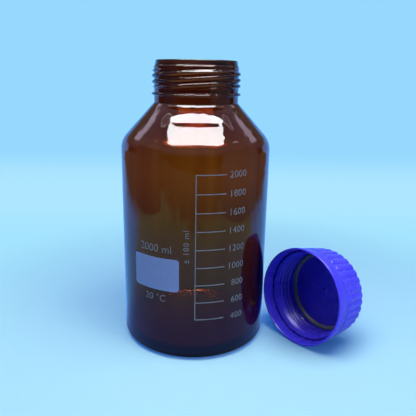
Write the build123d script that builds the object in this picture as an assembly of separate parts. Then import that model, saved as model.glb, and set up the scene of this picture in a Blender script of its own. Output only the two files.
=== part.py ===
from build123d import *
from math import asin, atan2, cos, degrees, hypot, pi, radians, sin, tan
import os

# A 2000 ml wide-mouth media bottle of amber glass, standing, with its screw cap taken off
# and lying on its side next to it. Millimetres, +Z up. The origin is the middle of the
# bottle's foot, on the surface that it stands on. The printed side faces -Y, and an
# azimuth is counted in degrees from there towards +X.

# --- Bottle: body ---------------------------------------------------------------------
bottle_height = 258.4
body_radius = 68.0
body_wall = 4.9
heel_radius = 8.6
foot_width = 4.0  # flat ring that the bottle stands on
push_up = 3.0  # rise of the base's middle over the foot
base_glass = 8.0  # from the foot up to the edge of the inner floor
floor_crown = 2.0  # rise of the inner floor's middle over its edge
inner_heel_radius = 8.0

# --- Bottle: shoulder and neck --------------------------------------------------------
shoulder_angle = 42.0  # from the vertical
shoulder_radius = 19.6
neck_length = 36.5  # from the mouth down to where the cone would meet the neck
neck_radius = 37.8  # root of the thread
neck_wall = 4.8
neck_fillet = 2.5
rim_step = 1.4  # how far the plain rim is set in from the root of the thread
rim_height = 4.9  # plain rim over the thread's step
rim_round = 1.1
bead_drop = 28.9  # from the mouth down to the middle of the bead under the thread
bead_width = 2.6
bead_proud = 2.2

# --- Screw thread, right-handed -------------------------------------------------------
thread_starts = 3
thread_spacing = 5.15  # from one ridge to the next
thread_width = 3.0
thread_proud = 1.8
thread_sunk = 0.5  # how far ridges reach into the wall that carries them
thread_drop = 7.9  # from the mouth down to where the ridges run out
thread_zone = 16.2
thread_fade = 2.0
thread_phase = 9.95  # from the mouth down to a ridge on the printed side

# --- Enamel print on the body ---------------------------------------------------------
print_thickness = 0.15
mark_volume = 200.0e3  # cubic millimetres from one mark to the next
mark_count = 9
first_mark = 40.7  # height of the lowest mark
mark_line = 0.7
mark_sweep = 21.9  # how far a mark runs round the body, in degrees
scale_azimuth = 0.5
panel_azimuth = -30.5
panel_height = 80.5  # of its middle
panel_size = (45.0, 29.6)
panel_corner = 2.8

# --- Screw cap, its depths counted from its open end, its flares out from its bore -----
cap_height = 43.2
bore_clearance = 0.5  # between the bore and the crest of the neck's ridges
cap_lip_flare = 6.1
cap_lip_height = 2.6
cap_lip_round = 1.0
cap_lip_wall = 1.7
cap_band_flare = 4.8
cap_band_wall = 1.6
cap_crest_flare = 5.0  # over the ribs, next to the band
cap_corner_flare = 1.9  # over the ribs, next to the roof
cap_corner_round = 4.0
cap_roof = 3.5
rib_count = 36
rib_depth = 1.1
rib_start = 12.5
rib_blend = 2.5
ledge_depth = 11.0
ledge_width = 1.9
notch_count = 104
notch_size = (1.3, 1.1, 0.8)  # along the radius, round the ledge, deep
bore_depth = 18.0
bore_chamfer = 1.2
thread_overlap = 1.3  # of the cap's ridges and the neck's
cap_thread_zone = 17.0
gate_mark = (1.6, 0.4)  # radius and height
rib_trim_gap = 0.1  # between the crests and the surface that trims the ribs' ends

# --- Sealing ring in the corner of the cap's roof -------------------------------------
seal_height = 2.2
seal_wall = 2.3
seal_lip = 1.0
seal_reach = 1.3  # how far it reaches in over the glass rim
seal_clearance = 0.2

# --- Where the cap lies ---------------------------------------------------------------
cap_azimuth = 71.6  # of the middle of its open end
cap_stand_off = 0.773  # of that middle from the body, in radii of the cap's lip
cap_yaw = 38.0  # of its axis, from +X towards +Y
cap_roll = 1.5

# --- Worked out from the sizes above --------------------------------------------------
inner_radius = body_radius - body_wall
neck_bore = neck_radius - neck_wall
rim_radius = neck_radius - rim_step
thread_lead = thread_starts * thread_spacing
thread_crest = neck_radius + thread_proud
thread_top = bottle_height - thread_drop
mark_rise = mark_volume / (pi * inner_radius**2)
print_radius = body_radius + print_thickness
cap_bore = thread_crest + bore_clearance
cap_lip_radius = cap_bore + cap_lip_flare
cap_band_radius = cap_bore + cap_band_flare
cap_crest_radius = cap_bore + cap_crest_flare
cap_corner_radius = cap_bore + cap_corner_flare
band_bore = cap_band_radius - cap_band_wall
ledge_bore = band_bore - ledge_width
cap_thread_proud = bore_clearance + thread_overlap
roof_depth = cap_height - cap_roof
corner_depth = cap_height - cap_corner_round
seal_inner = rim_radius - seal_reach
seal_outer = rim_radius + seal_wall
seal_seat = seal_outer + seal_clearance


def on_arc(middle, radius, angle):
    """Point on a circle in the radius-height plane, its angle in degrees from outwards."""
    turn = radians(angle)
    return (middle[0] + radius * cos(turn), middle[1] + radius * sin(turn))


def arc(middle, radius, start, end):
    """Arc of a circle in the radius-height plane."""
    half = (start + end) / 2
    return ThreePointArc(
        on_arc(middle, radius, start), on_arc(middle, radius, half), on_arc(middle, radius, end)
    )


def dome(edge_radius, edge_height, rise, outwards=True):
    """Arc of a shallow dome between its middle, on the Z axis, and its edge."""
    radius = (edge_radius**2 + rise**2) / (2 * rise)
    middle = (0, edge_height + rise - radius)
    edge_angle = degrees(asin((edge_height - middle[1]) / radius))
    if outwards:
        return arc(middle, radius, 90, edge_angle)
    return arc(middle, radius, edge_angle, 90)


def spun(*edges):
    """Solid of revolution about Z of the outline through the edges, straight where they part."""
    outline = []
    for edge, following in zip(edges, edges[1:] + edges[:1]):
        outline.append(edge)
        if (edge @ 1 - following @ 0).length > 1e-6:
            outline.append(Line(edge @ 1, following @ 0))
    face = make_face(Curve() + outline)
    return revolve(Plane.XZ * face, Axis.Z)


def shoulder_arcs(radius, corner, neck, fillet, wall, upwards=True):
    """The two rounds of the shoulder, whose cone is set in by the wall."""
    slope = radians(shoulder_angle)
    cone_foot = neck_radius - wall / cos(slope)

    def cone_height(at_radius):
        return bottle_height - neck_length - (at_radius - cone_foot) / tan(slope)

    round_end = radius - corner + corner * cos(slope)
    round_middle = (radius - corner, cone_height(round_end) - corner * sin(slope))
    fillet_start = neck + fillet - fillet * cos(slope)
    fillet_middle = (neck + fillet, cone_height(fillet_start) + fillet * sin(slope))
    if upwards:
        return (
            arc(round_middle, corner, 0, shoulder_angle),
            arc(fillet_middle, fillet, 180 + shoulder_angle, 180),
        )
    return (
        arc(fillet_middle, fillet, 180, 180 + shoulder_angle),
        arc(round_middle, corner, shoulder_angle, 0),
    )


def ridge_face(side, width, proud):
    """Half-round section of a ridge, its foot at the origin and sunk into its wall."""
    half = width / 2
    back = -side * thread_sunk
    bow = ThreePointArc((0, -half), (side * proud, 0), (0, half))
    foot = Polyline((0, half), (back, half), (back, -half), (0, -half))
    return make_face(Curve() + [bow, foot])


def thread_ridges(foot_radius, side, proud, low, high, ridge_height):
    """Ridges of the screw thread between two heights, fading in and out at their ends.

    They stand outwards for a side of 1 and inwards for -1, and one passes the printed
    side at ridge_height.
    """
    start = low - thread_width
    path = Helix(thread_lead, high - low + 2 * thread_width, foot_radius)
    plane = Plane(path @ 0, x_dir=(1, 0, 0), z_dir=path % 0)
    ridge = sweep(plane * ridge_face(side, thread_width, proud), path, is_frenet=True)
    crest = foot_radius + side * (proud + thread_sunk)
    back = foot_radius - side * 2 * thread_sunk
    limit = spun(
        Line((back, low), (foot_radius, low)),
        Line((crest, low + thread_fade), (crest, high - thread_fade)),
        Line((foot_radius, high), (back, high)),
    )
    turn = -90 - 360 * (ridge_height - start) / thread_lead
    ridges = []
    for index in range(thread_starts):
        placed = Pos(0, 0, start) * Rot(0, 0, turn + 360 * index / thread_starts) * ridge
        ridges.append(placed & limit)
    return ridges


def make_bottle():
    """Blown glass in one piece: body, heel, base, shoulder, neck, bead and thread."""
    foot_edge = body_radius - heel_radius
    foot_start = foot_edge - foot_width
    inner_edge = inner_radius - inner_heel_radius
    step = bottle_height - rim_height
    step_round = (neck_radius - rim_radius) / 2
    mouth = bottle_height - rim_round
    inner_fillet = neck_fillet + neck_wall
    inner_corner = shoulder_radius - body_wall
    glass = spun(
        dome(foot_start, 0, push_up),
        arc((foot_edge, heel_radius), heel_radius, -90, 0),
        *shoulder_arcs(body_radius, shoulder_radius, neck_radius, neck_fillet, 0),
        arc((neck_radius - step_round, step - step_round), step_round, 0, 90),
        Line((rim_radius, step), (rim_radius, mouth)),
        arc((rim_radius - rim_round, mouth), rim_round, 0, 90),
        arc((neck_bore + rim_round, mouth), rim_round, 90, 180),
        *shoulder_arcs(inner_radius, inner_corner, neck_bore, inner_fillet, body_wall, upwards=False),
        arc((inner_edge, base_glass + inner_heel_radius), inner_heel_radius, 0, -90),
        dome(inner_edge, base_glass, floor_crown, outwards=False),
    )
    bead_place = Plane((neck_radius, 0, bottle_height - bead_drop), x_dir=(1, 0, 0), z_dir=(0, -1, 0))
    bead = revolve(bead_place * ridge_face(1, bead_width, bead_proud), Axis.Z)
    thread_low = thread_top - thread_zone
    ridge_height = bottle_height - thread_phase
    ridges = thread_ridges(neck_radius, 1, thread_proud, thread_low, thread_top, ridge_height)
    return glass + bead + ridges


def print_strip(low, high, start, sweep_angle):
    """Band of enamel round the body between two heights, from an azimuth onwards."""
    height = high - low
    section = Pos((body_radius + print_radius) / 2, 0, 0) * Rectangle(print_thickness, height)
    upright = Pos(0, 0, (low + high) / 2) * Rot(0, 0, start - 90) * (Plane.XZ * section)
    return revolve(upright, Axis.Z, revolution_arc=sweep_angle)


def make_graduation_scale():
    """Upright line with a mark for each step of volume, the lowest mark at its foot."""
    half = mark_line / 2
    line_angle = degrees(mark_line / body_radius)
    start = scale_azimuth - line_angle / 2
    last_mark = first_mark + (mark_count - 1) * mark_rise
    scale = print_strip(first_mark - half, last_mark + half, start, line_angle)
    for index in range(mark_count):
        height = first_mark + index * mark_rise
        scale += print_strip(height - half, height + half, start, mark_sweep)
    return scale


def make_writing_panel():
    """Rounded field of enamel to write on, wrapped round the body."""
    direction = Vector(sin(radians(panel_azimuth)), -cos(radians(panel_azimuth)), 0)
    plane = Plane((0, 0, panel_height), x_dir=direction.cross(Vector(0, 0, -1)), z_dir=direction)
    field = extrude(plane * RectangleRounded(*panel_size, panel_corner), body_radius + body_wall)
    skin = Cylinder(print_radius, 2 * panel_size[1]) - Cylinder(body_radius, 2 * panel_size[1])
    return (Pos(0, 0, panel_height) * skin) & field


def crest_radius(depth):
    """Radius over the cap's ribs at a depth from its open end."""
    taper = (cap_crest_radius - cap_corner_radius) / (corner_depth - rib_start)
    return cap_crest_radius - taper * (depth - rib_start)


def rib_outline(depth):
    """Outline of the ribs at a depth: rounds that bulge outwards from one valley to the next."""
    crest = crest_radius(depth)
    pitch = 360 / rib_count
    rounds = []
    for index in range(rib_count):
        valley = on_arc((0, 0), crest - rib_depth, index * pitch)
        top = on_arc((0, 0), crest, (index + 0.5) * pitch)
        next_valley = on_arc((0, 0), crest - rib_depth, (index + 1) * pitch)
        rounds.append(ThreePointArc(valley, top, next_valley))
    return Pos(0, 0, depth) * make_face(Curve() + rounds)


def make_cap_ribs():
    """Grip ribs from the plain band to the round at the roof."""
    ribs = loft([rib_outline(rib_start), rib_outline(cap_height)], ruled=True)
    corner = (cap_corner_radius + rib_trim_gap - cap_corner_round, corner_depth)
    limit = spun(
        Line((0, rib_start), (cap_band_radius - rib_depth, rib_start)),
        ThreePointArc(
            (cap_band_radius - rib_depth / 2, rib_start),
            (crest_radius(rib_start) - rib_depth / 4, rib_start + rib_blend / 3),
            (crest_radius(rib_start + rib_blend) + rib_trim_gap, rib_start + rib_blend),
        ),
        arc(corner, cap_corner_round, 0, 90),
        Line((corner[0], cap_height), (0, cap_height)),
    )
    return ribs & limit


def make_cap():
    """Moulded cap in one piece, standing on its open end."""
    lip_round = (cap_lip_radius - cap_lip_round, cap_lip_round)
    blend = cap_lip_radius - cap_band_radius
    valley_start = crest_radius(rib_start) - rib_depth
    valley_end = crest_radius(corner_depth) - rib_depth
    body = spun(
        Line((0, 0), (lip_round[0], 0)),
        arc(lip_round, cap_lip_round, -90, 0),
        Line((cap_lip_radius, cap_lip_height), (cap_band_radius, cap_lip_height + blend)),
        Line((cap_band_radius, rib_start), (valley_start, rib_start)),
        Line((valley_end, corner_depth), (valley_end - cap_corner_round / 2, cap_height - rib_depth)),
        Line((valley_end - cap_corner_round, cap_height), (0, cap_height)),
    )
    hollow = spun(
        Line((0, 0), (cap_lip_radius - cap_lip_wall, 0)),
        Line((band_bore, ledge_depth), (ledge_bore, ledge_depth)),
        Line((ledge_bore, bore_depth - bore_chamfer), (cap_bore, bore_depth)),
        Line((cap_bore, bore_depth + cap_thread_zone), (seal_seat, roof_depth - seal_height)),
        Line((seal_seat, roof_depth), (0, roof_depth)),
    )
    gate = Pos(0, 0, roof_depth - gate_mark[1] / 2) * Cylinder(*gate_mark)
    thread_end = bore_depth + cap_thread_zone
    ridges = thread_ridges(cap_bore, -1, cap_thread_proud, bore_depth, thread_end, bore_depth)
    cap = body + make_cap_ribs() - hollow - make_notches() + gate + ridges
    return cap


def make_notches():
    """Ring of notches in the ledge inside the cap's open end."""
    length, width, deep = notch_size
    middle = (band_bore + ledge_bore) / 2
    notch = Pos(middle, 0, ledge_depth) * Box(length, width, 2 * deep)
    return [Rot(0, 0, index * 360 / notch_count) * notch for index in range(notch_count)]


def make_sealing_ring():
    """Ring in the corner of the cap's roof, with a thin lip that reaches over the rim."""
    foot = roof_depth - seal_height
    step = roof_depth - seal_lip
    return spun(
        Line((seal_outer, roof_depth), (seal_outer, foot)),
        Line((rim_radius, foot), (rim_radius, step)),
        Line((seal_inner, step), (seal_inner, roof_depth)),
    )


def cap_location():
    """Where the cap lies: on its lip and on the round at its roof."""
    lip = (cap_lip_round, cap_lip_radius - cap_lip_round)
    corner = (corner_depth, cap_corner_radius - cap_corner_round)
    run = corner[0] - lip[0]
    drop = lip[1] - corner[1]
    tilt = atan2(drop, run) - asin((cap_corner_round - cap_lip_round) / hypot(run, drop))
    height = lip[1] * cos(tilt) + lip[0] * sin(tilt) + cap_lip_round
    yaw = radians(cap_yaw)
    axis = (cos(yaw) * cos(tilt), sin(yaw) * cos(tilt), -sin(tilt))
    distance = body_radius + cap_stand_off * cap_lip_radius
    place = (distance * sin(radians(cap_azimuth)), -distance * cos(radians(cap_azimuth)), height)
    plane = Plane(place, x_dir=(-sin(yaw), cos(yaw), 0), z_dir=axis)
    return plane.location * Rot(0, 0, cap_roll)


def main():
    lying = cap_location()
    nodes = {
        "bottle": make_bottle(),
        "graduation_scale": make_graduation_scale(),
        "writing_panel": make_writing_panel(),
        "screw_cap": lying * make_cap(),
        "sealing_ring": lying * make_sealing_ring(),
    }
    os.makedirs("parts", exist_ok=True)
    for name, shape in nodes.items():
        shape.label = name
        export_step(shape, f"parts/{name}.step")


main()
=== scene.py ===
import math

import bpy
from mathutils import Matrix, Vector, noise


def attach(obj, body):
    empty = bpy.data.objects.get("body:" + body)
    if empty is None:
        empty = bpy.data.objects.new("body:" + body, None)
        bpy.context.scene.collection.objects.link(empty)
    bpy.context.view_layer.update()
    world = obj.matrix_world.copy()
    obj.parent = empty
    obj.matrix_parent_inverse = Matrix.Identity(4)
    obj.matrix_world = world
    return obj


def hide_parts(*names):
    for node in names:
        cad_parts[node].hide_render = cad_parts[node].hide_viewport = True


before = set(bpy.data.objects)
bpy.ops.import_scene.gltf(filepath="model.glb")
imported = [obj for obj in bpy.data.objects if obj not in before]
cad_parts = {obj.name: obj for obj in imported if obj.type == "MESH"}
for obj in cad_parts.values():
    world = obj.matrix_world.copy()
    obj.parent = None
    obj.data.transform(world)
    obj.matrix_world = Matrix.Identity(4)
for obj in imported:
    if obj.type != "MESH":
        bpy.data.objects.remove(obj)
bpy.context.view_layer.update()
MM = 0.001

# --- Sizes of the frame's solids, in millimetres and degrees ---------------------------
# An azimuth is counted from the printed side, which faces -Y, towards +X.
BOTTLE_HEIGHT = 258.4
BODY_RADIUS = 68.0
BODY_WALL = 4.9
HEEL_RADIUS = 8.6
FOOT_WIDTH = 4.0
PUSH_UP = 3.0
BASE_GLASS = 8.0
FLOOR_CROWN = 2.0
INNER_HEEL = 8.0
SHOULDER_ANGLE = 42.0
SHOULDER_RADIUS = 19.6
NECK_LENGTH = 36.5  # from the mouth down to where the cone would meet the neck
NECK_RADIUS = 37.8  # root of the thread
NECK_WALL = 4.8
NECK_FILLET = 2.5
RIM_RADIUS = 36.4
RIM_HEIGHT = 4.9
RIM_ROUND = 1.1
BEAD_HEIGHT = 229.5
BEAD_WIDTH = 2.6
BEAD_PROUD = 2.2
RIDGE_PROUD = 1.8
THREAD_STARTS = 3
THREAD_SPACING = 5.15
THREAD_WIDTH = 3.0
THREAD_TOP = 250.5
THREAD_ZONE = 16.2
THREAD_FADE = 2.0
THREAD_PHASE = 248.45  # height of a ridge on the printed side
THREAD_START = -math.pi / 2  # the angle of that side from +X, in radians
PRINT_THICKNESS = 0.15
MARK_RISE = 15.99  # from one mark to the next, for MARK_VOLUME
MARK_COUNT = 9
MARK_VOLUME = 200  # millilitres
FIRST_VOLUME = 400
FIRST_MARK = 40.7
MARK_LINE = 0.7
MARK_SWEEP = 21.9  # how far a mark runs round the body
SCALE_AZIMUTH = 0.5
PANEL_AZIMUTH = -30.5
PANEL_HEIGHT = 80.5
PANEL_SIZE = (45.0, 29.6)
PANEL_CORNER = 2.8

CAP_HEIGHT = 43.2
LIP_RADIUS = 46.2
LIP_HEIGHT = 2.6
LIP_ROUND = 1.0
LIP_WALL = 1.7
BAND_RADIUS = 44.9
BAND_WALL = 1.6
CREST_RADIUS = 45.1
CORNER_RADIUS = 42.0
CORNER_ROUND = 4.0
ROOF = 3.5
RIB_COUNT = 36
RIB_DEPTH = 1.1
RIB_START = 12.5
RIB_BLEND = 2.5
LEDGE_DEPTH = 11.0
LEDGE_WIDTH = 1.9
NOTCH_COUNT = 104
BORE_DEPTH = 18.0
BORE_CHAMFER = 1.2
CAP_BORE = 40.1
CAP_THREAD_ZONE = 17.0
CAP_THREAD_PROUD = 1.8
GATE_RADIUS = 1.6
GATE_HEIGHT = 0.4
SEAL_HEIGHT = 2.2
SEAL_OUTER = 38.7
SEAL_LIP = 1.0
SEAL_INNER = 35.1
SEAL_SEAT = 38.9
CAP_PLACE = (98.41, -32.74)  # middle of its open end
CAP_YAW = 38.0  # of its axis, from +X towards +Y
CAP_ROLL = 1.5

# --- What the visible pieces have beyond the solids, in millimetres ----------------------
PRINT_SUNK = 0.1  # how far the print's closed back reaches into the glass
NOTCH_LENGTH = 1.6  # along the radius
NOTCH_DEEP = 1.8  # more than in the solid, so that the notches show
NOTCH_SHARE = (0.2, 0.7)  # part of each pitch that is cut away
SEAL_GAP = 0.05  # between the ring and the roof
CONE_STEPS = 52  # rows of faces up the shoulder's cone
BOTTLE_SEGMENTS = 320
CAP_SEGMENTS = 8 * NOTCH_COUNT
SEAL_SEGMENTS = 256
RIDGE_POWER = 2.4  # how square a ridge's round section is
RIB_POWER = 2.2  # how square a rib is


# --- Outlines ----------------------------------------------------------------------------
def ease(value):
    """Smooth step from 0 to 1."""
    value = max(0.0, min(1.0, value))
    return value * value * (3 - 2 * value)


def on_arc(middle, radius, angle):
    """Point of a circle in the radius-height plane, its angle in degrees."""
    turn = math.radians(angle)
    return (middle[0] + radius * math.cos(turn), middle[1] + radius * math.sin(turn))


def arc(middle, radius, start, end, steps):
    """Points of an arc in the radius-height plane, both ends among them."""
    return [on_arc(middle, radius, start + (end - start) * i / steps) for i in range(steps + 1)]


def dome(edge_radius, edge_height, rise, steps):
    """Points of a shallow dome from the axis out to its edge."""
    points = []
    for i in range(steps + 1):
        r = edge_radius * i / steps
        points.append((r, edge_height + rise * (1 - (r / edge_radius) ** 2)))
    return points


def line(start, end, steps):
    """Points between two ends, which aren't among them."""
    return [
        (start[0] + (end[0] - start[0]) * i / steps, start[1] + (end[1] - start[1]) * i / steps)
        for i in range(1, steps)
    ]


def shoulder_arcs(radius, corner, neck, fillet, wall, steps):
    """Round from body to cone and fillet from cone to neck, wall millimetres inside the outer glass."""
    slope = math.radians(SHOULDER_ANGLE)
    cone_foot = NECK_RADIUS - wall / math.cos(slope)

    def cone_height(r):
        return BOTTLE_HEIGHT - NECK_LENGTH - (r - cone_foot) / math.tan(slope)

    round_end = radius - corner + corner * math.cos(slope)
    round_middle = (radius - corner, cone_height(round_end) - corner * math.sin(slope))
    fillet_start = neck + fillet - fillet * math.cos(slope)
    fillet_middle = (neck + fillet, cone_height(fillet_start) + fillet * math.sin(slope))
    return (
        arc(round_middle, corner, 0, SHOULDER_ANGLE, steps),
        arc(fillet_middle, fillet, 180 + SHOULDER_ANGLE, 180, steps // 2),
    )


def bottle_outline():
    """Outer and inner outline of the glass, as (radius, height, side) from foot to mouth and back."""
    foot_edge = BODY_RADIUS - HEEL_RADIUS
    foot_start = foot_edge - FOOT_WIDTH
    inner_radius = BODY_RADIUS - BODY_WALL
    neck_bore = NECK_RADIUS - NECK_WALL
    inner_edge = inner_radius - INNER_HEEL
    step = BOTTLE_HEIGHT - RIM_HEIGHT
    step_round = (NECK_RADIUS - RIM_RADIUS) / 2
    mouth = BOTTLE_HEIGHT - RIM_ROUND
    outer = dome(foot_start, 0, PUSH_UP, steps=10)
    outer += line((foot_start, 0), (foot_edge, 0), steps=3)
    outer += arc((foot_edge, HEEL_RADIUS), HEEL_RADIUS, -90, 0, steps=14)
    round_out, fillet_out = shoulder_arcs(
        BODY_RADIUS, SHOULDER_RADIUS, NECK_RADIUS, NECK_FILLET, wall=0, steps=14
    )
    outer += line(outer[-1], round_out[0], steps=16) + round_out
    outer += line(round_out[-1], fillet_out[0], CONE_STEPS) + fillet_out
    outer += line(fillet_out[-1], (NECK_RADIUS, step - step_round), steps=104)
    outer += arc((NECK_RADIUS - step_round, step - step_round), step_round, 0, 90, steps=4)
    outer += line(outer[-1], (RIM_RADIUS, mouth), steps=5)
    outer += arc((RIM_RADIUS - RIM_ROUND, mouth), RIM_ROUND, 0, 90, steps=6)
    inner = arc((neck_bore + RIM_ROUND, mouth), RIM_ROUND, 90, 180, steps=6)
    round_in, fillet_in = shoulder_arcs(
        inner_radius, SHOULDER_RADIUS - BODY_WALL, neck_bore, NECK_FILLET + NECK_WALL,
        wall=BODY_WALL, steps=12,
    )
    inner += line(inner[-1], fillet_in[-1], steps=8) + fillet_in[::-1]
    inner += line(fillet_in[0], round_in[-1], steps=8) + round_in[::-1]
    inner += line(round_in[0], (inner_radius, BASE_GLASS + INNER_HEEL), steps=14)
    inner += arc((inner_edge, BASE_GLASS + INNER_HEEL), INNER_HEEL, 0, -90, steps=10)
    inner += dome(inner_edge, BASE_GLASS, FLOOR_CROWN, steps=9)[-2::-1]
    return outer, inner


# --- Mesh helpers ------------------------------------------------------------------------
def mesh_object(name, points, faces, material, smooth=True):
    """Object in the scene from points in millimetres."""
    mesh = bpy.data.meshes.new(name)
    mesh.from_pydata([tuple(c * MM for c in p) for p in points], [], faces)
    mesh.validate()
    mesh.update()
    mesh.polygons.foreach_set("use_smooth", [smooth] * len(mesh.polygons))
    mesh.materials.append(material)
    piece = bpy.data.objects.new(name, mesh)
    bpy.context.scene.collection.objects.link(piece)
    return piece


def revolve(name, outline, segments, material, shape=None, place=None, flat=()):
    """Closed surface of revolution whose outline starts and ends on the axis.

    shape(index, point, angle) may move a point of the outline; place(x, y, z) sets it down;
    the bands of faces that start at an index in flat aren't smoothed.
    """
    points = []
    faces = []
    rings = []
    for index, point in enumerate(outline):
        ends = index in (0, len(outline) - 1)
        ring = []
        for step in range(1 if ends else segments):
            angle = 2 * math.pi * step / segments
            r, z = shape(index, point, angle) if shape and not ends else point
            spot = (0.0, 0.0, z) if ends else (r * math.cos(angle), r * math.sin(angle), z)
            ring.append(len(points))
            points.append(place(*spot) if place else spot)
        rings.append(ring)
    for low, high in zip(rings, rings[1:]):
        for step in range(segments):
            after = (step + 1) % segments
            if len(low) == 1:
                faces.append((low[0], high[after], high[step]))
            elif len(high) == 1:
                faces.append((low[step], low[after], high[0]))
            else:
                faces.append((low[step], low[after], high[after], high[step]))
    piece = mesh_object(name, points, faces, material)
    for index in flat:
        for face in piece.data.polygons[index * segments:(index + 1) * segments]:
            face.use_smooth = False
    return piece


def half_round(offset, width, proud):
    """Height of a half-round ridge at a distance from its middle."""
    share = abs(offset) / (width / 2)
    return proud * math.sqrt(max(0.0, 1 - share**RIDGE_POWER)) if share < 1 else 0.0


def ridge_height(angle, z, phase_height, top, zone, proud):
    """Height of the screw thread's ridges at an angle and a height."""
    lead = THREAD_STARTS * THREAD_SPACING
    along = z - phase_height - lead * (angle - THREAD_START) / (2 * math.pi)
    offset = (along + THREAD_SPACING / 2) % THREAD_SPACING - THREAD_SPACING / 2
    fade = min(z - (top - zone), top - z) / THREAD_FADE
    limit = max(0.0, min(1.0, fade))
    return min(half_round(offset, THREAD_WIDTH, proud), limit * proud)


# --- Node material helpers ---------------------------------------------------------------
WHITE = (1.0, 1.0, 1.0)


class Paint:
    """Shorthand for building a node material."""

    def __init__(self, name):
        self.material = bpy.data.materials.new(name)
        self.material.use_nodes = True
        self.tree = self.material.node_tree
        self.tree.nodes.clear()
        self.output = self.add("ShaderNodeOutputMaterial")

    def add(self, kind, inputs=None, **settings):
        node = self.tree.nodes.new(kind)
        for key, value in settings.items():
            setattr(node, key, value)
        for key, value in (inputs or {}).items():
            if isinstance(value, bpy.types.NodeSocket):
                self.link(value, node.inputs[key])
            else:
                node.inputs[key].default_value = value
        return node

    def link(self, source, target):
        self.tree.links.new(source, target)

    def surface(self, shader):
        """Put a shader on the surface and give the material back."""
        self.link(shader, self.output.inputs["Surface"])
        return self.material

    def place(self):
        return self.add("ShaderNodeNewGeometry").outputs["Position"]

    def coordinates(self):
        split = self.add("ShaderNodeSeparateXYZ", {"Vector": self.place()})
        return [split.outputs[axis] for axis in "XYZ"]

    def distance(self, point=(0, 0, 0)):
        ends = {0: self.place(), 1: point}
        return self.add("ShaderNodeVectorMath", ends, operation="DISTANCE").outputs["Value"]

    def noise(self, scale, detail=3.0, roughness=0.5, stretch=None):
        vector = self.place()
        if stretch:
            vector = self.add(
                "ShaderNodeMapping", {"Vector": vector, "Scale": stretch}
            ).outputs["Vector"]
        return self.add(
            "ShaderNodeTexNoise",
            {"Vector": vector, "Scale": scale, "Detail": detail, "Roughness": roughness},
        ).outputs["Fac"]

    def spread(self, value, low, high, to_low=0.0, to_high=1.0):
        return self.add(
            "ShaderNodeMapRange",
            {"Value": value, "From Min": low, "From Max": high, "To Min": to_low, "To Max": to_high},
        ).outputs["Result"]

    def ease(self, value, low, high):
        """Smooth step from 0 at low to 1 at high, which may be the lower of the two."""
        node = self.add(
            "ShaderNodeMapRange",
            {"Value": value, "From Min": low, "From Max": high, "To Min": 0.0, "To Max": 1.0},
            interpolation_type="SMOOTHSTEP",
        )
        return node.outputs["Result"]

    def blend(self, factor, first, second):
        node = self.add("ShaderNodeMix", data_type="RGBA")
        self.link(factor, node.inputs[0])
        for socket, value in ((node.inputs[6], first), (node.inputs[7], second)):
            if isinstance(value, bpy.types.NodeSocket):
                self.link(value, socket)
            else:
                socket.default_value = (*value, 1)
        return node.outputs[2]

    def multiply(self, first, second):
        node = self.add("ShaderNodeMix", data_type="RGBA", blend_type="MULTIPLY")
        node.inputs[0].default_value = 1.0
        self.link(first, node.inputs[6])
        self.link(second, node.inputs[7])
        return node.outputs[2]

    def calc(self, operation, first, second=0.0):
        return self.add("ShaderNodeMath", {0: first, 1: second}, operation=operation).outputs[0]

    def darken_hollows(self, tone, distance, samples, low, high, dark):
        """Painted shade: darken a colour where less of the way round it is open, as far as distance in
        metres.
        """
        node = self.add("ShaderNodeAmbientOcclusion", {"Distance": distance}, samples=samples)
        return self.multiply(tone, self.blend(self.ease(node.outputs["AO"], low, high), dark, WHITE))

    def bump(self, height, distance, strength):
        inputs = {"Height": height, "Distance": distance, "Strength": strength}
        return self.add("ShaderNodeBump", inputs).outputs[0]

    def principled(self, inputs):
        return self.add("ShaderNodeBsdfPrincipled", inputs).outputs[0]

    def emission(self, colour, strength=1.0):
        if not isinstance(colour, bpy.types.NodeSocket):
            colour = (*colour, 1)
        return self.add("ShaderNodeEmission", {"Color": colour, "Strength": strength}).outputs[0]

    def mix(self, factor, first, second):
        return self.add("ShaderNodeMixShader", {0: factor, 1: first, 2: second}).outputs[0]

    def both(self, first, second):
        return self.add("ShaderNodeAddShader", {0: first, 1: second}).outputs[0]


def linear(red, green, blue):
    """Linear colour of an sRGB colour given from 0 to 255."""
    return tuple(
        c / 12.92 if c <= 0.04045 else ((c + 0.055) / 1.055) ** 2.4
        for c in (red / 255, green / 255, blue / 255)
    )


GLASS_IOR = 1.473
GLASS_COLOUR = (0.812, 0.475, 0.0)
GLASS_DENSITY = 560.0
SHOULDER_TINT = (0.81, 0.75, 0.80)
SHOULDER_TINT_FROM = (0.160, 0.206)  # heights in metres between which it sets in
NECK_TINT = (0.58, 0.39, 0.48)
NECK_TINT_FROM = (0.214, 0.226)
DRAW_LINE_TINT = (0.86, 0.74, 0.66)


def make_glass():
    """Amber glass: colour in its volume, faint draw lines down its wall, darker to the neck."""
    paint = Paint("amber_glass")
    smudge = paint.noise(28, 4, 0.6)
    draw = paint.noise(46, 3, 0.6, stretch=(1, 1, 0.025))
    height = paint.coordinates()[2]
    streak = paint.blend(paint.spread(draw, 0.40, 0.62), WHITE, DRAW_LINE_TINT)
    # Darker tint from the shoulder up, and darker still at the neck.
    upper_tint = paint.blend(paint.ease(height, *SHOULDER_TINT_FROM), WHITE, SHOULDER_TINT)
    upper_tint = paint.blend(paint.ease(height, *NECK_TINT_FROM), upper_tint, NECK_TINT)
    shader = paint.principled({
        "Base Color": paint.multiply(streak, upper_tint),
        "Roughness": paint.spread(smudge, 0.45, 0.75, 0.0, 0.03),
        "IOR": GLASS_IOR,
        "Transmission Weight": 1.0,
    })
    inside = {"Color": (*GLASS_COLOUR, 1), "Density": GLASS_DENSITY}
    absorb = paint.add("ShaderNodeVolumeAbsorption", inputs=inside)
    paint.link(absorb.outputs[0], paint.output.inputs["Volume"])
    return paint.surface(shader)


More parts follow.
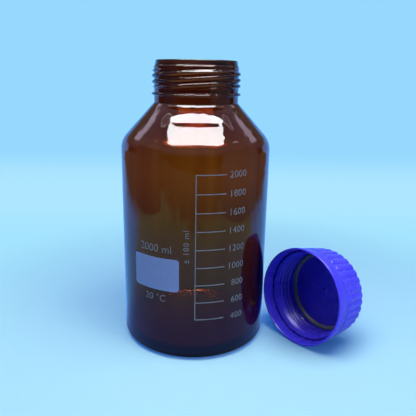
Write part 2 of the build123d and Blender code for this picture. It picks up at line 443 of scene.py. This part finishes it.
def make_enamel(name, colour, dark):
    """Fired print: dull, slightly mottled and grainy."""
    paint = Paint(name)
    mottle = paint.noise(260, 4, 0.6)
    grain = paint.noise(2600, 2)
    return paint.surface(paint.principled({
        "Base Color": paint.blend(paint.spread(mottle, 0.3, 0.75), colour, dark),
        "Roughness": paint.spread(mottle, 0.3, 0.7, 0.42, 0.6),
        "Normal": paint.bump(grain, 0.00003, 0.3),
    }))


def make_cap_plastic():
    """Violet-blue plastic, paler on sharp edges, with painted shade in narrow gaps and deep inside the
    cap.
    """
    paint = Paint("cap_plastic")
    cloud = paint.noise(45, 3, 0.55)
    grain = paint.noise(2200, 3, 0.6)
    sharpness = paint.add("ShaderNodeNewGeometry").outputs["Pointiness"]
    tone = paint.blend(paint.spread(cloud, 0.3, 0.7), linear(84, 78, 255), linear(72, 62, 248))
    # Paler on sharp convex edges.
    tone = paint.blend(paint.spread(sharpness, 0.57, 0.68, 0, 0.35), tone, linear(128, 122, 255))
    # Painted shade in narrow gaps, then deep inside the cap.
    tone = paint.darken_hollows(tone, 0.003, 8, 0.15, 0.50, dark=(0.10, 0.07, 0.20))
    tone = paint.darken_hollows(tone, 0.07, 6, 0.16, 0.88, dark=(0.14, 0.07, 0.38))
    return paint.surface(paint.principled({
        "Base Color": tone,
        "Roughness": paint.spread(cloud, 0.3, 0.7, 0.22, 0.32),
        "Specular IOR Level": 0.26,
        "Normal": paint.bump(grain, 0.00006, 0.25),
    }))


def make_seal_rubber():
    """Grey ring that lets a little light in."""
    paint = Paint("seal")
    cloud = paint.noise(120, 3)
    grain = paint.noise(1800, 2)
    return paint.surface(paint.principled({
        "Base Color": paint.blend(
            paint.spread(cloud, 0.3, 0.7), linear(112, 118, 130), linear(84, 92, 112)
        ),
        "Roughness": paint.spread(cloud, 0.3, 0.7, 0.35, 0.5),
        "Transmission Weight": 0.25,
        "Normal": paint.bump(grain, 0.00005, 0.3),
    }))


# --- Bottle ------------------------------------------------------------------------------
SHOULDER_TILTS = (  # height, and how far the blown shoulder leans from the vertical there in front
    (220.6, 38), (219.6, 50), (218.6, 54), (217.4, 53), (216.4, 49.5), (213, 44.5), (210, 41),
    (207, 38.5), (200, 36.5), (190, 36.5),
)
SETTLE_HIGH = 220
SETTLE_LOW = 194
SETTLE_SPREAD = (0.50, 0.90)  # from where to where it sets in, as the cosine of the azimuth
CREASE_HIGH = 208.8
CREASE_LOW = 205
CREASE_DEEP = 1.38
CREASE_SPREAD = (0.905, 0.99)
WALL_WAVE = 0.035  # greatest waves in the outer wall, in the shoulder and in the inner wall
SHOULDER_WAVE = 0.12
INNER_WAVE = 0.25


def along_profile(profile, z):
    """Value at a height in a falling list of (height, value)."""
    for (z1, value1), (z0, value0) in zip(profile, profile[1:]):
        if z0 <= z <= z1:
            return value0 + (value1 - value0) * (z - z0) / (z1 - z0)
    return 0.0


def settle_profile(steps):
    """Offsets from the true cone that lean it as SHOULDER_TILTS says, and come back to it below."""
    step = (SETTLE_HIGH - SETTLE_LOW) / steps
    cone = math.tan(math.radians(SHOULDER_ANGLE))
    offsets = [0.0]
    for index in range(steps):
        tilt = along_profile(SHOULDER_TILTS, SETTLE_HIGH - (index + 0.5) * step)
        offsets.append(offsets[-1] + step * (math.tan(math.radians(tilt)) - cone))
    last = offsets[-1]
    profile = []
    for index, out in enumerate(offsets):
        profile.append((SETTLE_HIGH - index * step, out - last * index / steps))
    return profile


def crease(z):
    """Offset of the low crease, which is inwards: it sets in steeply and runs out slowly below."""
    if z > CREASE_LOW:
        return -CREASE_DEEP * ease((CREASE_HIGH - z) / (CREASE_HIGH - CREASE_LOW))
    return -CREASE_DEEP * (z - SETTLE_LOW) / (CREASE_LOW - SETTLE_LOW)


def settle(angle, z, profile):
    """How far the blown shoulder lies out from a true cone in front: a flat top and a low crease."""
    front = max(0.0, -math.sin(angle))

    def share(spread):
        return ease((front - spread[0]) / (spread[1] - spread[0]))

    return share(SETTLE_SPREAD) * along_profile(profile, z) + share(CREASE_SPREAD) * crease(z)


def make_bottle(material):
    """Glass shell with bead and thread, and with the shallow waves of blown glass."""
    outer, inner = bottle_outline()
    outline = outer + inner
    neck_low = BOTTLE_HEIGHT - NECK_LENGTH
    profile = settle_profile(CONE_STEPS)

    def shape(index, point, angle):
        r, z = point
        if index < len(outer):
            if z > neck_low and r > NECK_RADIUS - 0.01:
                ridge = ridge_height(angle, z, THREAD_PHASE, THREAD_TOP, THREAD_ZONE, RIDGE_PROUD)
                r += max(ridge, half_round(z - BEAD_HEIGHT, BEAD_WIDTH, BEAD_PROUD))
            elif z > HEEL_RADIUS:
                around = Vector((r * math.cos(angle), r * math.sin(angle), z))
                r += WALL_WAVE * noise.noise(around * 0.06)
                if SETTLE_LOW < z < SETTLE_HIGH:
                    r += settle(angle, z, profile) + SHOULDER_WAVE * noise.noise(around * 0.2)
        elif BASE_GLASS + INNER_HEEL < z < neck_low:
            around = Vector((r * math.cos(angle), r * math.sin(angle), z * 0.6))
            r += INNER_WAVE * noise.noise(around * 0.035 + Vector((7, 3, 1)))
        return r, z

    return revolve("bottle_glass", outline, BOTTLE_SEGMENTS, material, shape)


def wrap(azimuth, z, radius):
    """Point on a cylinder about the bottle's axis, its azimuth from the printed side."""
    turn = math.radians(azimuth)
    return (radius * math.sin(turn), -radius * math.cos(turn), z)


def printed(name, grids, material):
    """Thin closed enamel patches from flat (azimuth, height) grids."""
    points = []
    faces = []
    inner = BODY_RADIUS - PRINT_SUNK
    outer = BODY_RADIUS + PRINT_THICKNESS
    for grid in grids:
        rows = len(grid)
        columns = len(grid[0])
        start = len(points)
        for radius in (inner, outer):
            for row in grid:
                for azimuth, z in row:
                    points.append(wrap(azimuth, z, radius))
        layer = rows * columns

        def at(i, j, k):
            return start + k * layer + i * columns + j

        for i in range(rows - 1):
            for j in range(columns - 1):
                faces.append((at(i, j, 1), at(i, j + 1, 1), at(i + 1, j + 1, 1), at(i + 1, j, 1)))
                faces.append((at(i, j, 0), at(i + 1, j, 0), at(i + 1, j + 1, 0), at(i, j + 1, 0)))
        for j in range(columns - 1):
            last = rows - 1
            faces.append((at(0, j, 0), at(0, j + 1, 0), at(0, j + 1, 1), at(0, j, 1)))
            faces.append((at(last, j, 1), at(last, j + 1, 1), at(last, j + 1, 0), at(last, j, 0)))
        for i in range(rows - 1):
            last = columns - 1
            faces.append((at(i, 0, 1), at(i + 1, 0, 1), at(i + 1, 0, 0), at(i, 0, 0)))
            faces.append((at(i, last, 0), at(i + 1, last, 0), at(i + 1, last, 1), at(i, last, 1)))
    return mesh_object(name, points, faces, material, smooth=False)


def strip(low, high, start, sweep, columns):
    """Grid of a band between two heights, round from an azimuth."""
    return [[(start + sweep * j / columns, z) for j in range(columns + 1)] for z in (low, high)]


def make_scale(material):
    """Upright line with a mark for each volume."""
    half = MARK_LINE / 2
    width = math.degrees(MARK_LINE / BODY_RADIUS)
    start = SCALE_AZIMUTH - width / 2
    last = FIRST_MARK + (MARK_COUNT - 1) * MARK_RISE
    grids = [strip(FIRST_MARK - half, last + half, start, width, columns=2)]
    for index in range(MARK_COUNT):
        z = FIRST_MARK + index * MARK_RISE
        grids.append(strip(z - half, z + half, start + width, MARK_SWEEP - width, columns=24))
    return printed("printed_scale", grids, material)


def make_panel(material):
    """Rounded field, as rows across it that are shorter at the corners."""
    half_width = PANEL_SIZE[0] / 2
    half_height = PANEL_SIZE[1] / 2
    columns = 40
    rows = []
    corner = [on_arc((0, 0), PANEL_CORNER, a) for a in range(90, -1, -15)]
    levels = [(half_width - PANEL_CORNER + x, half_height - PANEL_CORNER + y) for x, y in corner]
    for reach, height in [(w, -h) for w, h in levels] + [(w, h) for w, h in levels[::-1]]:
        row = []
        for j in range(columns + 1):
            across = reach * (2 * j / columns - 1)
            lean = math.degrees(math.asin(across / BODY_RADIUS))
            row.append((PANEL_AZIMUTH + lean, PANEL_HEIGHT + height))
        rows.append(row)
    return printed("writing_field", [rows], material)


LETTER_OFFSET = -0.011  # of the strokes' edges, as a share of the size


def make_lettering(name, text, size, azimuth, z, material, align="CENTER", upright=False, space=1.0):
    """Text set in Blender's own plain face, a little thinned, wrapped round the body as enamel."""
    curve = bpy.data.curves.new(name, "FONT")
    curve.body = text
    curve.size = size
    curve.align_x = align
    curve.align_y = "CENTER"
    curve.resolution_u = 4
    curve.space_character = space
    curve.offset = LETTER_OFFSET * size
    flat = bpy.data.objects.new(name, curve)
    bpy.context.scene.collection.objects.link(flat)
    bpy.context.view_layer.update()
    evaluated = flat.evaluated_get(bpy.context.evaluated_depsgraph_get())
    shape = bpy.data.meshes.new_from_object(evaluated)
    bpy.data.objects.remove(flat)
    points = []
    outer = BODY_RADIUS + PRINT_THICKNESS
    inner = BODY_RADIUS - PRINT_SUNK
    count = len(shape.vertices)
    for radius in (outer, inner):
        for v in shape.vertices:
            x, y = (-v.co.y, v.co.x) if upright else (v.co.x, v.co.y)
            points.append(wrap(azimuth + math.degrees(x / BODY_RADIUS), z + y, radius))
    faces = [tuple(p.vertices) for p in shape.polygons]
    edges = dict.fromkeys(pair for face in faces for pair in zip(face, face[1:] + face[:1]))
    sides = [(b, a, a + count, b + count) for a, b in edges if (b, a) not in edges]
    faces += [tuple(v + count for v in reversed(face)) for face in faces[:]]
    return mesh_object(name, points, faces + sides, material, smooth=False)


# --- Cap ---------------------------------------------------------------------------------
def cap_place():
    """Placing of the cap, which lies on its lip and on the round at its roof."""
    lip = (LIP_ROUND, LIP_RADIUS - LIP_ROUND)
    corner = (CAP_HEIGHT - CORNER_ROUND, CORNER_RADIUS - CORNER_ROUND)
    run = corner[0] - lip[0]
    drop = lip[1] - corner[1]
    tilt = math.atan2(drop, run) - math.asin((CORNER_ROUND - LIP_ROUND) / math.hypot(run, drop))
    height = lip[1] * math.cos(tilt) + lip[0] * math.sin(tilt) + LIP_ROUND
    yaw = math.radians(CAP_YAW)
    axis = Vector((math.cos(yaw) * math.cos(tilt), math.sin(yaw) * math.cos(tilt), -math.sin(tilt)))
    across = Vector((-math.sin(yaw), math.cos(yaw), 0))
    third = axis.cross(across)
    turn = Matrix((across, third, axis)).transposed().to_4x4()
    roll = Matrix.Rotation(math.radians(CAP_ROLL), 4, "Z")
    return Matrix.Translation((*CAP_PLACE, height)) @ turn @ roll


def crest_radius(depth):
    """Radius over the ribs, which taper towards the roof."""
    taper = (CREST_RADIUS - CORNER_RADIUS) / (CAP_HEIGHT - CORNER_ROUND - RIB_START)
    return CREST_RADIUS - taper * (depth - RIB_START)


def cap_outline():
    """Outline of the cap from the middle of its roof, round the lip and back inside.

    Each point is (radius, depth, kind): kind "rib" takes the ribs, "blend" their ends, "notch"
    the notches and "thread" the thread. Steps of a few tenths are the small rounds of its edges.
    """
    out = []

    def add(kind, *spots):
        out.extend((r, s, kind) for r, s in spots)

    corner_foot = CAP_HEIGHT - CORNER_ROUND
    add("plain", *((r, CAP_HEIGHT) for r in (0, 12, 24, 34)))
    add("rib", *arc((CORNER_RADIUS - CORNER_ROUND, corner_foot), CORNER_ROUND, 90, 0, steps=9))
    rib_steps = 12
    for i in range(1, rib_steps + 1):
        s = corner_foot + (RIB_START + RIB_BLEND - corner_foot) * i / rib_steps
        add("rib", (crest_radius(s), s))
    blend_steps = 8
    for i in range(1, blend_steps + 1):
        s = RIB_START + RIB_BLEND * (1 - i / blend_steps)
        add("blend", (crest_radius(s), s))
    flare = LIP_HEIGHT + LIP_RADIUS - BAND_RADIUS
    add("plain", (BAND_RADIUS, RIB_START - 0.4), (BAND_RADIUS, 8))
    add("plain", (BAND_RADIUS, flare + 0.3), (BAND_RADIUS + 0.15, flare - 0.2))
    add("plain", (LIP_RADIUS - 0.3, LIP_HEIGHT + 0.3), (LIP_RADIUS, LIP_HEIGHT - 0.2))
    add("plain", *arc((LIP_RADIUS - LIP_ROUND, LIP_ROUND), LIP_ROUND, 0, -90, steps=7))
    bore = LIP_RADIUS - LIP_WALL
    band_bore = BAND_RADIUS - BAND_WALL
    ledge_bore = band_bore - LEDGE_WIDTH
    add("plain", (bore + 0.25, 0.02), (bore - 0.05, 0.25), (bore - 0.3, 2.0))
    add("plain", (band_bore + 0.3, LEDGE_DEPTH * 0.6), (band_bore + 0.02, LEDGE_DEPTH - 0.35))
    notch_in = (band_bore + ledge_bore) / 2 - NOTCH_LENGTH / 2
    notch_out = notch_in + NOTCH_LENGTH
    add("plain", (band_bore - 0.12, LEDGE_DEPTH), (notch_out + 0.06, LEDGE_DEPTH))
    for r in (notch_out, (notch_in + notch_out) / 2, notch_in):
        add("notch", (r, LEDGE_DEPTH))
    add("plain", (notch_in - 0.06, LEDGE_DEPTH))
    add("plain", (ledge_bore + 0.12, LEDGE_DEPTH), (ledge_bore, LEDGE_DEPTH + 0.3))
    add("plain", (ledge_bore, BORE_DEPTH - BORE_CHAMFER))
    thread_steps = 38
    for i in range(thread_steps + 1):
        add("thread", (CAP_BORE, BORE_DEPTH + CAP_THREAD_ZONE * i / thread_steps))
    roof = CAP_HEIGHT - ROOF
    seat = roof - SEAL_HEIGHT
    add("plain", (SEAL_SEAT + 0.1, seat - 0.15), (SEAL_SEAT, seat), (SEAL_SEAT, roof - 0.2))
    add("plain", *((r, roof) for r in (SEAL_SEAT - 0.2, 30, 15, 4, GATE_RADIUS + 0.15)))
    gate = roof - GATE_HEIGHT
    add("plain", (GATE_RADIUS, gate + 0.1), (GATE_RADIUS - 0.15, gate), (0, gate))
    return out


def make_cap(material, lying):
    """Cap shell with ribs, notches and thread, set down where it lies."""
    outline = cap_outline()
    pitch = 2 * math.pi / RIB_COUNT
    notch_pitch = 2 * math.pi / NOTCH_COUNT
    thread_end = BORE_DEPTH + CAP_THREAD_ZONE

    def rib(angle):
        """How far a rib's round falls short of its crest: RIB_DEPTH between two ribs."""
        share = (angle / pitch) % 1.0
        return RIB_DEPTH * abs(2 * share - 1) ** RIB_POWER

    def shape(index, point, angle):
        r, depth, kind = point
        if kind == "rib":
            over = 1.0
            if depth > CAP_HEIGHT - CORNER_ROUND:
                over = (r - (CORNER_RADIUS - CORNER_ROUND)) / CORNER_ROUND
            r -= rib(angle) * ease(over * 1.4)
        elif kind == "blend":
            rise = ease((depth - RIB_START) / RIB_BLEND)
            low = BAND_RADIUS - RIB_DEPTH * 0.9
            r = low + (r - rib(angle) - low) * rise if rise > 0 else low
        elif kind == "notch":
            share = (angle / notch_pitch) % 1.0
            if NOTCH_SHARE[0] < share < NOTCH_SHARE[1]:
                depth += NOTCH_DEEP
        elif kind == "thread":
            r -= ridge_height(angle, depth, BORE_DEPTH, thread_end, CAP_THREAD_ZONE, CAP_THREAD_PROUD)
        return r, depth

    def place(x, y, z):
        return tuple(lying @ Vector((x, y, z)))

    last = len(outline) - 1
    ends = [(r, s, k) if 0 < i < last else (r, s) for i, (r, s, k) in enumerate(outline)]
    notched = [i for i, (r, s, k) in enumerate(outline) if k == "notch"]
    flat = range(notched[0] - 1, notched[-1] + 1)
    return revolve("cap_shell", ends, CAP_SEGMENTS, material, shape, place, flat)


def make_seal(material, lying):
    """Ring of a stepped section that lies in the corner of the cap's roof."""
    roof = CAP_HEIGHT - ROOF - SEAL_GAP
    foot = roof - SEAL_HEIGHT
    step = roof - SEAL_LIP
    section = [
        (SEAL_OUTER, roof), (SEAL_OUTER, foot + 0.2), (SEAL_OUTER - 0.2, foot),
        (RIM_RADIUS + 0.25, foot), (RIM_RADIUS, foot + 0.25), (RIM_RADIUS, step),
        (SEAL_INNER + 0.2, step), (SEAL_INNER, step + 0.2), (SEAL_INNER, roof),
    ]
    points = []
    faces = []
    count = len(section)
    for i in range(SEAL_SEGMENTS):
        angle = 2 * math.pi * i / SEAL_SEGMENTS
        after = ((i + 1) % SEAL_SEGMENTS) * count
        for j, (r, s) in enumerate(section):
            points.append(tuple(lying @ Vector((r * math.cos(angle), r * math.sin(angle), s))))
            beside = (j + 1) % count
            faces.append((i * count + j, i * count + beside, after + beside, after + j))
    return mesh_object("seal_ring", points, faces, material)


# --- Stage -------------------------------------------------------------------------------
CAP_RESTS = 18  # depth in the cap over which its shade on the floor is centred, in millimetres
FLOOR_FRONT = -900  # the sheet's outline, in millimetres
FLOOR_BACK = 1100
SWEEP_ROUND = 500
BACKDROP_TOP = 1900
FLOOR_ROW = 200
STAGE_COLUMNS = (-2600, -800, 0, 800, 2600)


def near_sheet(paint, around):
    """The floor by the object: lit, with a blue glow, and with painted shadows beneath the bottle and
    the cap.
    """
    yaw = math.radians(CAP_YAW)
    x, y = (CAP_PLACE[0] + CAP_RESTS * math.cos(yaw), CAP_PLACE[1] + CAP_RESTS * math.sin(yaw))
    rest = paint.distance((x * MM, y * MM, 0))
    # Painted shadows: 0 at the bottle's foot and under the cap, 1 on the open floor.
    bright = paint.calc("MULTIPLY", paint.ease(around, 0.050, 0.067), paint.ease(rest, -0.004, 0.066))
    glow = paint.emission((0.0, 0.10, 0.42), paint.spread(bright, 0, 1, 0.15, 1.0))
    colour = paint.blend(bright, (0.05, 0.12, 0.30), (0.42, 0.68, 0.58))
    return paint.both(glow, paint.add("ShaderNodeBsdfDiffuse", {"Color": colour}).outputs[0])


def seen_sheet(paint, near, along):
    """What the camera sees: the lit floor, and further off the sheet's own pale colour."""
    tone = paint.blend(paint.ease(along, -0.05, 0.16), linear(173, 231, 255), linear(165, 228, 255))
    tone = paint.blend(paint.ease(along, 0.26, 0.50), tone, linear(174, 230, 255))
    tone = paint.blend(paint.ease(along, 0.60, 1.15), tone, linear(151, 217, 254))
    off = paint.ease(paint.distance((0.05, 0, 0)), 0.16, 0.42)
    return paint.mix(off, near, paint.emission(tone))


def mirrored_sheet(paint, around):
    """What mirrors show: a sheet of limited width and uneven edges in a dark room, with a painted
    shadow round the bottle's foot.
    """
    x, y, z = paint.coordinates()
    reach = paint.calc("MULTIPLY", paint.calc("MAXIMUM", paint.calc("SUBTRACT", y, 0.3)), 0.5)
    wide = paint.calc("MULTIPLY", paint.calc("MAXIMUM", paint.calc("SUBTRACT", y, 0.8)), 2.0)
    reach = paint.calc("ADD", paint.calc("ADD", reach, wide), 0.56)
    side = paint.calc("SUBTRACT", paint.calc("ABSOLUTE", x), reach)
    side = paint.calc("ADD", side, paint.calc("MULTIPLY", paint.noise(9, 2), 0.16))
    front = paint.calc("SUBTRACT", y, paint.calc("MULTIPLY", paint.noise(13, 3), 0.40))
    sheet = paint.calc("MULTIPLY", paint.ease(side, 0.14, -0.06), paint.ease(front, -0.76, -0.58))
    # Painted shadow round the bottle's foot, here and in the strength below.
    sheet = paint.calc("MULTIPLY", sheet, paint.ease(around, 0.062, 0.078))
    sheet = paint.calc("MULTIPLY", sheet, paint.ease(z, 0.75, 0.40))
    tone = paint.blend(paint.ease(around, 0.10, 0.25), (0.16, 0.31, 0.95), (0.36, 0.56, 0.66))
    tone = paint.blend(paint.ease(around, 0.28, 0.48), tone, (0.30, 0.60, 0.38))
    tone = paint.blend(paint.ease(y, -0.02, 0.05), tone, (0.2, 0.62, 1.5))
    tone = paint.blend(sheet, (0.12, 0.15, 0.14), tone)
    return paint.emission(tone, paint.ease(around, 0.058, 0.075))


def make_stage():
    """Pale blue sweep: floor in front, backdrop far behind, in one piece.

    Its distances are in metres from the middle of the bottle's foot. Light that comes through
    the glass sees a sheet with a painted shadow: dim beneath the bottle and bright far behind it.
    """
    paint = Paint("pale_sheet")
    around = paint.distance()
    _, y, z = paint.coordinates()
    along = paint.calc("ADD", y, z)
    near = near_sheet(paint, around)
    # Painted shadow of the bottle, for light that comes through the glass.
    rise = paint.spread(paint.ease(along, -0.1, 0.85), 0, 1, 0.10, 1.06)
    through = paint.emission((0.33, 0.74, 1.0), rise)
    ray = paint.add("ShaderNodeLightPath").outputs
    shader = paint.mix(ray["Is Glossy Ray"], near, mirrored_sheet(paint, around))
    shader = paint.mix(ray["Is Transmission Ray"], shader, through)
    paint.surface(paint.mix(ray["Is Camera Ray"], shader, seen_sheet(paint, near, along)))
    back = FLOOR_BACK + SWEEP_ROUND
    rows = [(y, 0) for y in range(FLOOR_FRONT, FLOOR_BACK + 1, FLOOR_ROW)]
    for angle in range(10, 91, 10):
        turn = math.radians(angle)
        y = FLOOR_BACK + SWEEP_ROUND * math.sin(turn)
        rows.append((y, SWEEP_ROUND - SWEEP_ROUND * math.cos(turn)))
    rows += [(back, 1100), (back, BACKDROP_TOP)]
    points = [(x, y, z) for y, z in rows for x in STAGE_COLUMNS]
    width = len(STAGE_COLUMNS)
    faces = []
    for i in range(len(rows) - 1):
        for a in range(i * width, (i + 1) * width - 1):
            faces.append((a, a + 1, a + width + 1, a + width))
    floor = mesh_object("sweep", points, faces, paint.material)


CARD_HEIGHT = 420
GLOW_HEIGHT = 780


def only_mirrored(sheet):
    """Let a stage object show in reflections alone."""
    sheet.visible_camera = False
    sheet.visible_diffuse = False
    sheet.visible_transmission = False
    sheet.visible_shadow = False


def make_card(name, ends, colour):
    """Dim upright card beside the sheet, seen only in reflections."""
    paint = Paint(name)
    (x0, y0), (x1, y1) = ends
    corners = [(x0, y0, 0), (x1, y1, 0), (x1, y1, CARD_HEIGHT), (x0, y0, CARD_HEIGHT)]
    card = mesh_object(name, corners, [(0, 1, 2, 3)], paint.surface(paint.emission(colour)))
    only_mirrored(card)


def make_glow(name, middle, half_size, colour, rim):
    """Round glow under the ceiling, seen only in reflections: soft, or a dim disc with a bright rim.

    Its middle and half size are in metres.
    """
    paint = Paint(name)
    centre = (*middle, GLOW_HEIGHT * MM)
    way = paint.add("ShaderNodeVectorMath", {0: paint.place(), 1: centre}, operation="SUBTRACT")
    shrink = {0: way.outputs[0], 1: (1 / half_size[0], 1 / half_size[1], 1)}
    part = paint.add("ShaderNodeVectorMath", shrink, operation="MULTIPLY")
    far = paint.add("ShaderNodeVectorMath", {0: part.outputs[0]}, operation="LENGTH").outputs["Value"]
    wave = paint.calc("SUBTRACT", paint.noise(5, 3), 0.5)
    far = paint.calc("ADD", far, paint.calc("MULTIPLY", wave, 0.15 if rim else 1.2))
    level = paint.ease(far, 1.0, 0.93 if rim else 0.3)
    if rim:
        edge = paint.spread(paint.ease(far, 0.74, 0.90), 0, 1, 0.18, 1.0)
        level = paint.calc("MULTIPLY", level, edge)
    clear = paint.add("ShaderNodeBsdfTransparent").outputs[0]
    paint.surface(paint.both(paint.emission(colour, level), clear))
    x, y = (c / MM for c in middle)
    wide, deep = (1.4 * c / MM for c in half_size)
    sides = ((-wide, -deep), (wide, -deep), (wide, deep), (-wide, deep))
    corners = [(x + along, y + across, GLOW_HEIGHT) for along, across in sides]
    pane = mesh_object(name, corners, [(3, 2, 1, 0)], paint.material)
    only_mirrored(pane)


ROOM_COLOUR = (0.80, 0.74, 1.0)
ROOM_LIGHT = 0.10
SKY_COLOUR = linear(171, 230, 255)


def make_world():
    """Weak bluish light from all round, a dim ceiling for mirrors and a pale sky for the camera."""
    world = bpy.data.worlds.new("studio")
    bpy.context.scene.world = world
    world.use_nodes = True
    tree = world.node_tree
    room = tree.nodes["Background"]
    room.inputs["Color"].default_value = (*ROOM_COLOUR, 1)
    path = tree.nodes.new("ShaderNodeLightPath")
    coords = tree.nodes.new("ShaderNodeTexCoord")
    split = tree.nodes.new("ShaderNodeSeparateXYZ")
    ceiling = tree.nodes.new("ShaderNodeMapRange")
    for name, value in (("From Min", 0.08), ("From Max", 0.5), ("To Min", 0.03), ("To Max", 0.45)):
        ceiling.inputs[name].default_value = value
    level = tree.nodes.new("ShaderNodeMapRange")
    level.inputs["To Min"].default_value = ROOM_LIGHT
    sky = tree.nodes.new("ShaderNodeBackground")
    sky.inputs["Color"].default_value = (*SKY_COLOUR, 1)
    either = tree.nodes.new("ShaderNodeMixShader")
    for source, target in (
        (coords.outputs["Generated"], split.inputs[0]),
        (split.outputs["Z"], ceiling.inputs["Value"]),
        (path.outputs["Is Glossy Ray"], level.inputs["Value"]),
        (ceiling.outputs["Result"], level.inputs["To Max"]),
        (level.outputs["Result"], room.inputs["Strength"]),
        (path.outputs["Is Camera Ray"], either.inputs[0]),
        (room.outputs[0], either.inputs[1]),
        (sky.outputs[0], either.inputs[2]),
        (either.outputs[0], tree.nodes["World Output"].inputs["Surface"]),
    ):
        tree.links.new(source, target)


def soft_light(name, place, target, size, power, colour=(1, 1, 1), lit=True, mirrored=False):
    """Area lamp that the camera doesn't see: it lights things, shows in reflections, or both."""
    light = bpy.data.lights.new(name, "AREA")
    light.shape = "RECTANGLE"
    light.size = size[0]
    light.size_y = size[1]
    light.energy = power
    light.color = colour
    lamp = bpy.data.objects.new(name, light)
    lamp.location = place
    lamp.rotation_mode = "QUATERNION"
    lamp.rotation_quaternion = (Vector(target) - Vector(place)).to_track_quat("-Z", "Y")
    bpy.context.scene.collection.objects.link(lamp)
    lamp.visible_camera = False
    lamp.visible_diffuse = lit
    lamp.visible_glossy = mirrored
    lamp.visible_transmission = mirrored


CAMERA_PLACE = (0, -0.4528, 0.2479)
CAMERA_TURNS = (15.42, 0.99, 1.56)  # down, over and to the right, in degrees
SENSOR = 36.0
LENS_PIXELS = 490.0
FRAME_PIXELS = 416


def make_camera():
    """The photograph's camera, its lens measured in pixels of the square frame."""
    pitch, roll, yaw = (math.radians(a) for a in CAMERA_TURNS)
    ahead = Vector((math.sin(yaw) * math.cos(pitch), math.cos(yaw) * math.cos(pitch), -math.sin(pitch)))
    level = Vector((math.cos(yaw), -math.sin(yaw), 0))
    up = level.cross(ahead)
    right = math.cos(roll) * level + math.sin(roll) * up
    top = math.cos(roll) * up - math.sin(roll) * level
    data = bpy.data.cameras.new("camera")
    data.sensor_width = SENSOR
    data.lens = LENS_PIXELS / FRAME_PIXELS * SENSOR
    data.clip_start = 0.01
    data.clip_end = 20
    camera = bpy.data.objects.new("camera", data)
    place = Matrix((right, top, -ahead)).transposed().to_4x4()
    place.translation = CAMERA_PLACE
    camera.matrix_world = place
    bpy.context.scene.collection.objects.link(camera)
    bpy.context.scene.camera = camera


# --- Everything together -----------------------------------------------------------------
glass = make_glass()
enamel = make_enamel("enamel_line", linear(116, 125, 142), linear(102, 114, 134))
# The field's white enamel is given the blue-grey it shows in shade: painted shade.
shaded_field_enamel = make_enamel("enamel_field_painted_shade", linear(123, 141, 197), linear(117, 135, 191))
cap_plastic = make_cap_plastic()
seal_rubber = make_seal_rubber()

pieces = []
bottle = make_bottle(glass)
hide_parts("bottle")
pieces.append((bottle, "amber_glass"))
scale = make_scale(enamel)
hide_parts("graduation_scale")
pieces.append((scale, "enamel"))
panel = make_panel(shaded_field_enamel)
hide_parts("writing_panel")
pieces.append((panel, "enamel"))
for index in range(MARK_COUNT):
    value = FIRST_VOLUME + MARK_VOLUME * index
    height = FIRST_MARK + index * MARK_RISE - 0.4
    numeral = make_lettering(
        f"numeral_{value}", str(value), 8.2, 38.6, height, enamel, align="RIGHT", space=1.04
    )
    pieces.append((numeral, "enamel"))
volume = make_lettering("volume_text", "2000 ml", 9.8, -29.9, 103.4, enamel)
temperature = make_lettering("temperature_text", "20 °C", 9.0, -30.3, 58.0, enamel)
tolerance = make_lettering(
    "tolerance_text", "± 100 ml", 7.2, -5.8, 107.1, enamel, upright=True, space=1.15
)
pieces += [(volume, "enamel"), (temperature, "enamel"), (tolerance, "enamel")]

lying = cap_place()
cap = make_cap(cap_plastic, lying)
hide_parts("screw_cap")
pieces.append((cap, "cap_plastic"))
seal = make_seal(seal_rubber, lying)
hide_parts("sealing_ring")
pieces.append((seal, "seal"))

for piece, slot in pieces:
    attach(piece, "root")

make_stage()
make_card("right_card", ((330, -420), (560, 120)), (0.10, 0.24, 0.30))
make_card("right_strip", ((330, -425), (345, -390)), (0.75, 0.50, 0.20))
make_card("left_card", ((-560, 60), (-420, -350)), (0.05, 0.10, 0.16))
make_glow("left_glow", (-0.82, 0.62), (0.30, 0.30), (2.0, 1.7, 2.3), rim=False)
make_glow("right_glow", (0.82, 0.54), (0.28, 0.32), (1.8, 1.5, 2.0), rim=False)
make_glow("left_disc", (-0.43, 0.045), (0.12, 0.12), (3.2, 2.6, 2.9), rim=True)
make_glow("right_disc", (0.45, 0.05), (0.12, 0.12), (2.8, 2.2, 2.7), rim=True)
make_world()
make_camera()
soft_light("softbox", (0.0, -0.19, 0.8), (0.0, -0.19, 0.0), (0.80, 0.42), 6.6)
soft_light(
    "softbox_shine", (0.0, -0.19, 0.79), (0.0, -0.19, 0.0), (0.74, 0.35), 18.0,
    colour=(0.95, 0.97, 1.0), lit=False, mirrored=True,
)
soft_light("side_fill", (0.95, -0.75, 0.55), (0.1, 0, 0.05), (0.5, 0.5), 4.0)

scene = bpy.context.scene
scene.view_settings.view_transform = "Standard"
